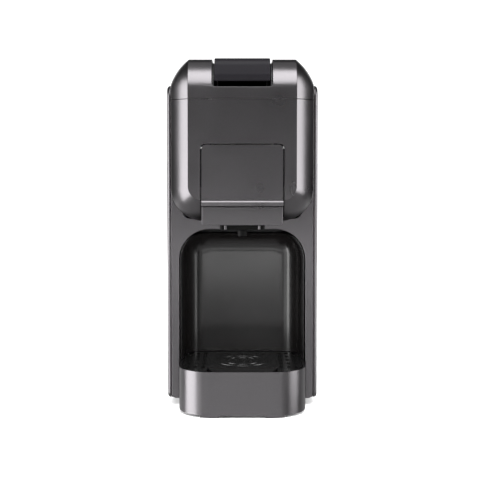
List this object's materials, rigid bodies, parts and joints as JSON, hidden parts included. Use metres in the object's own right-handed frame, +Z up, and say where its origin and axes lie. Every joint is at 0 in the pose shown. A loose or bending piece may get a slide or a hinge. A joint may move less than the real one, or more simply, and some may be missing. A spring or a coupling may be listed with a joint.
{
  "type": "pod coffee machine",
  "caption": "Narrow pod coffee machine with a lifting lever, brew group, drop-in capsule slot, cup niche, slide-out drip tray and a lift-off rear water tank.",
  "frame": {"origin": "centre of the footprint on the table", "axes": "+Z up, the front with the spout and drip tray faces -Y, +X is to the right seen from the front"},
  "size_m": [0.1216, 0.3, 0.2812],
  "materials": {
    "left_side_panel": "satin metallic grey paint",
    "right_side_panel": "satin metallic grey paint",
    "body_shell": "satin metallic grey paint",
    "front_bezel": "satin metallic grey paint",
    "head_shell": "satin metallic grey paint",
    "top_lid": "satin metallic grey paint",
    "outlet_housing": "satin metallic grey paint",
    "front_flap": "satin metallic grey paint",
    "drip_tray": "satin metallic grey paint",
    "rear_housing": "satin metallic grey paint",
    "tank_lid": "satin metallic grey paint",
    "niche_roof": "satin black",
    "base_pan": "satin black",
    "lever_well": "satin black",
    "espresso_button": "satin black",
    "lungo_button": "satin black",
    "lever_handle": "satin black",
    "brew_cradle": "satin black",
    "capsule_chute": "satin black",
    "drop_guide": "satin black",
    "coffee_spout": "satin black",
    "coffee_duct": "satin black",
    "drip_grid": "satin black",
    "capsule_bin": "satin black",
    "power_inlet": "satin black",
    "switch_frame": "satin black",
    "power_switch": "satin black",
    "niche_wall": "gloss black",
    "base_screw_1": "machined",
    "base_screw_2": "machined",
    "base_screw_3": "machined",
    "base_screw_4": "machined",
    "lever_shaft": "machined",
    "left_cam_plate": "machined",
    "right_cam_plate": "machined",
    "left_cage_pin": "machined",
    "right_cage_pin": "machined",
    "injector_plate": "machined",
    "flap_hinge_pin": "machined",
    "foot_front_left": "matte",
    "foot_front_right": "matte",
    "foot_rear_left": "matte",
    "foot_rear_right": "matte",
    "pump_bracket": "matte",
    "tank_socket": "matte",
    "water_tank": "smoked clear",
    "thermoblock": "cast",
    "pump": "cast",
    "capsule_cage": "natural white",
    "tank_valve": "natural white",
    "flow_meter": "natural white",
    "control_board": "green board",
    "injector_seal": "translucent white",
    "hose_tank_to_meter": "translucent white",
    "hose_meter_to_pump": "translucent white",
    "hose_pump_to_boiler": "translucent white"
  },
  "bodies": {
    "housing": {"left_side_panel": "left_side_panel", "right_side_panel": "right_side_panel", "body_shell": "body_shell", "front_bezel": "front_bezel", "head_shell": "head_shell", "top_lid": "top_lid", "outlet_housing": "outlet_housing", "rear_housing": "rear_housing", "niche_roof": "niche_roof", "base_pan": "base_pan", "lever_well": "lever_well", "brew_cradle": "brew_cradle", "capsule_chute": "capsule_chute", "drop_guide": "drop_guide", "coffee_spout": "coffee_spout", "coffee_duct": "coffee_duct", "power_inlet": "power_inlet", "switch_frame": "switch_frame", "base_screw_1": "base_screw_1", "base_screw_2": "base_screw_2", "base_screw_3": "base_screw_3", "base_screw_4": "base_screw_4", "injector_plate": "injector_plate", "foot_front_left": "foot_front_left", "foot_front_right": "foot_front_right", "foot_rear_left": "foot_rear_left", "foot_rear_right": "foot_rear_right", "pump_bracket": "pump_bracket", "tank_socket": "tank_socket", "thermoblock": "thermoblock", "pump": "pump", "flow_meter": "flow_meter", "control_board": "control_board", "injector_seal": "injector_seal", "hose_tank_to_meter": "hose_tank_to_meter", "hose_meter_to_pump": "hose_meter_to_pump", "hose_pump_to_boiler": "hose_pump_to_boiler"},
    "lever": {"lever_handle": "lever_handle", "lever_shaft": "lever_shaft", "left_cam_plate": "left_cam_plate", "right_cam_plate": "right_cam_plate"},
    "cage": {"capsule_cage": "capsule_cage", "left_cage_pin": "left_cage_pin", "right_cage_pin": "right_cage_pin"},
    "flap": {"front_flap": "front_flap", "flap_hinge_pin": "flap_hinge_pin"},
    "drawer": {"drip_tray": "drip_tray", "niche_wall": "niche_wall", "capsule_bin": "capsule_bin"},
    "grid": {"drip_grid": "drip_grid"},
    "tank": {"water_tank": "water_tank", "tank_valve": "tank_valve"},
    "tank_cover": {"tank_lid": "tank_lid"},
    "espresso_key": {"espresso_button": "espresso_button"},
    "lungo_key": {"lungo_button": "lungo_button"},
    "power_key": {"power_switch": "power_switch"}
  },
  "joints": [
    {"name": "lever_lift", "type": "hinge", "parent": "housing", "child": "lever", "pos_m": [0, -0.01, 0.272], "axis": [-1, 0, 0], "range_deg": [0, 75]},
    {"name": "cage_slide", "type": "slide", "parent": "housing", "child": "cage", "axis": [0, -1, 0], "range_m": [0, 0.03]},
    {"name": "flap_swing", "type": "hinge", "parent": "housing", "child": "flap", "pos_m": [0, -0.1352, 0.2099], "axis": [-1, 0, 0], "range_deg": [0, 45]},
    {"name": "drawer_slide", "type": "slide", "parent": "housing", "child": "drawer", "axis": [0, -1, 0], "range_m": [0, 0.13]},
    {"name": "grid_lift", "type": "slide", "parent": "drawer", "child": "grid", "axis": [0, 0, 1], "range_m": [0, 0.06]},
    {"name": "tank_lift", "type": "slide", "parent": "housing", "child": "tank", "axis": [0, 0, 1], "range_m": [0, 0.1]},
    {"name": "tank_lid_lift", "type": "slide", "parent": "tank", "child": "tank_cover", "axis": [0, 0, 1], "range_m": [0, 0.05]},
    {"name": "espresso_press", "type": "slide", "parent": "housing", "child": "espresso_key", "axis": [0, 0, -1], "range_m": [0, 0.001], "stiffness_N_per_m": 600, "springref_m": -0.0005},
    {"name": "lungo_press", "type": "slide", "parent": "housing", "child": "lungo_key", "axis": [0, 0, -1], "range_m": [0, 0.001], "stiffness_N_per_m": 600, "springref_m": -0.0005},
    {"name": "power_rock", "type": "hinge", "parent": "housing", "child": "power_key", "pos_m": [0, 0.1454, 0.0325], "axis": [1, 0, 0], "range_deg": [0, 12]}
  ],
  "couplings": [
    {"joint": "cage_slide", "follows": "lever_lift", "m_per_rad": 0.022918}
  ]
}
